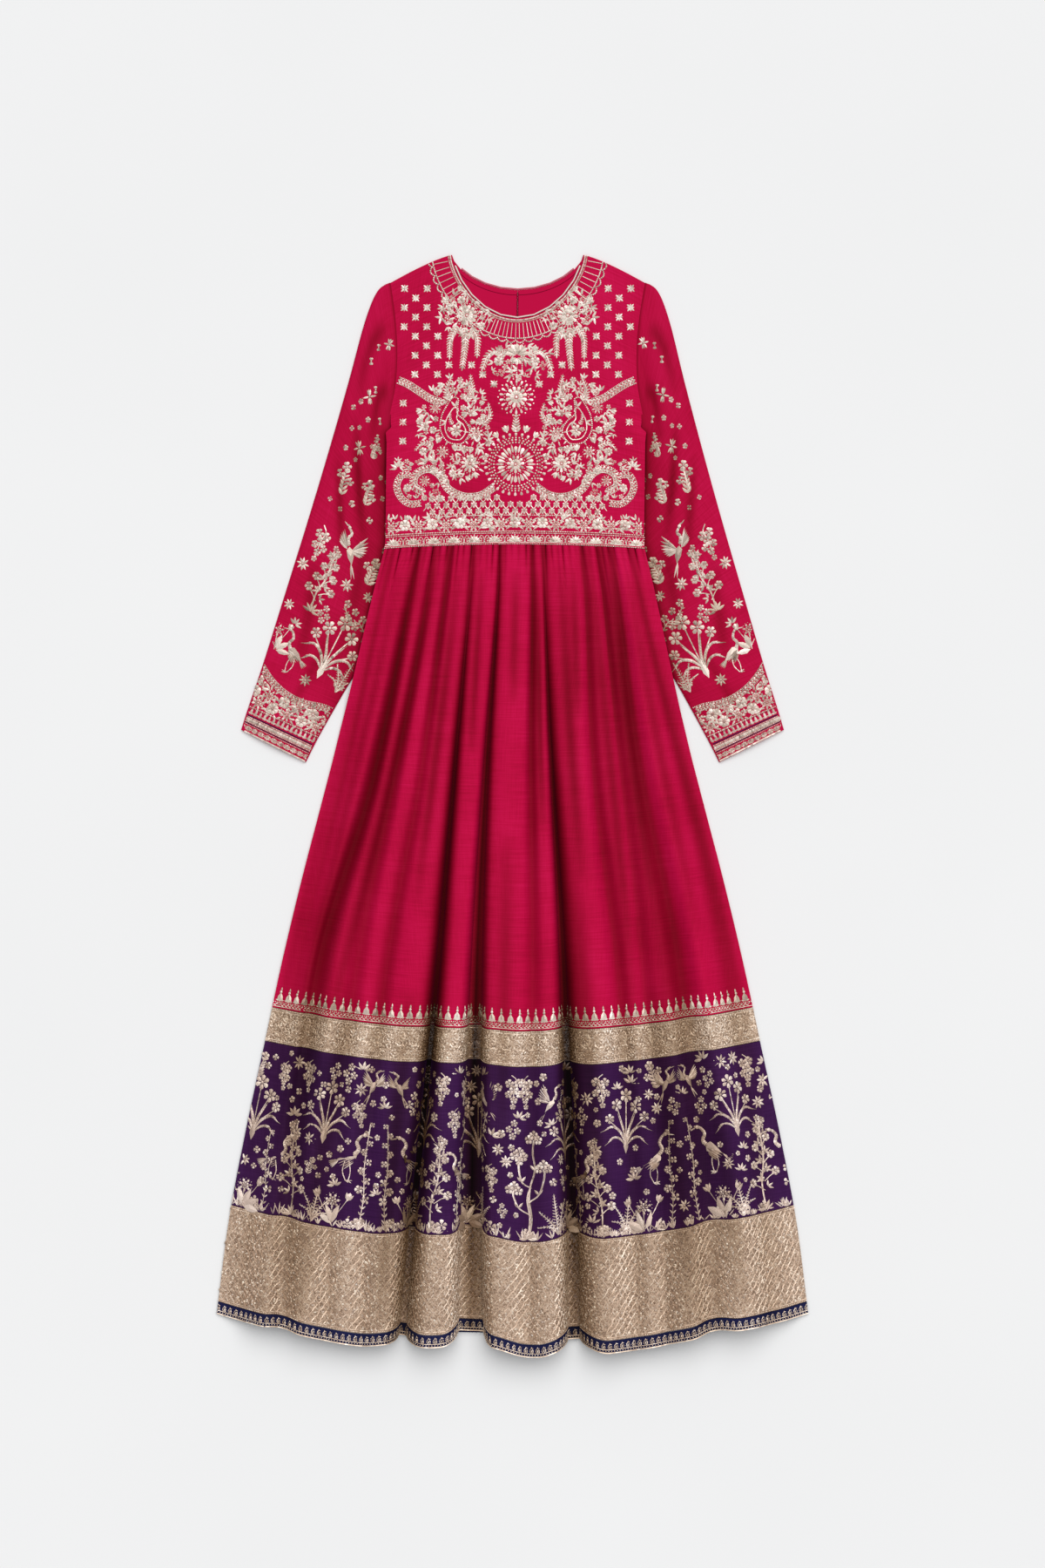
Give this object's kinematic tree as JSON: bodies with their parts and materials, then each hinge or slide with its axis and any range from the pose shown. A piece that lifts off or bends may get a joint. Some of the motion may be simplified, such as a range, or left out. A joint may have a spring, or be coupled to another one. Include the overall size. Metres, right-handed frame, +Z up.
{
  "type": "anarkali gown",
  "caption": "Long-sleeved embroidered gown with a fitted bodice and a full gathered skirt with a banded border, laid out flat on its back.",
  "frame": {"origin": "middle of the gown's outline, on the surface it lies on", "axes": "+Y along the body from hem to neck, +X to the right as seen from above, +Z up, out of the front of the gown"},
  "size_m": [0.7743, 1.4396, 0.0414],
  "materials": {
    "crimson_silk": "slubbed silk, soft sheen",
    "embroidered_silk": "slubbed silk with raised metal-thread embroidery",
    "purple_silk": "satin-faced silk with metal-thread embroidery",
    "gold_trim": "sequined metal-thread trim",
    "silver_trim": "metal-thread trim and cord",
    "navy_trim": "woven trim with a drop border"
  },
  "bodies": {
    "root": {"bodice_front": "embroidered_silk", "bodice_back_left": "crimson_silk", "bodice_back_right": "crimson_silk", "sleeve_left": "embroidered_silk", "sleeve_right": "embroidered_silk", "cuff_left": "embroidered_silk", "cuff_right": "embroidered_silk", "waistband_front": "silver_trim", "waistband_back": "silver_trim", "neck_piping_front": "silver_trim", "neck_piping_back": "silver_trim", "skirt_front": "crimson_silk", "skirt_back": "crimson_silk", "upper_band_front": "gold_trim", "upper_band_back": "gold_trim", "border_front": "purple_silk", "border_back": "purple_silk", "lower_band_front": "gold_trim", "lower_band_back": "gold_trim", "hem_band_front": "navy_trim", "hem_band_back": "navy_trim"}
  },
  "joints": []
}
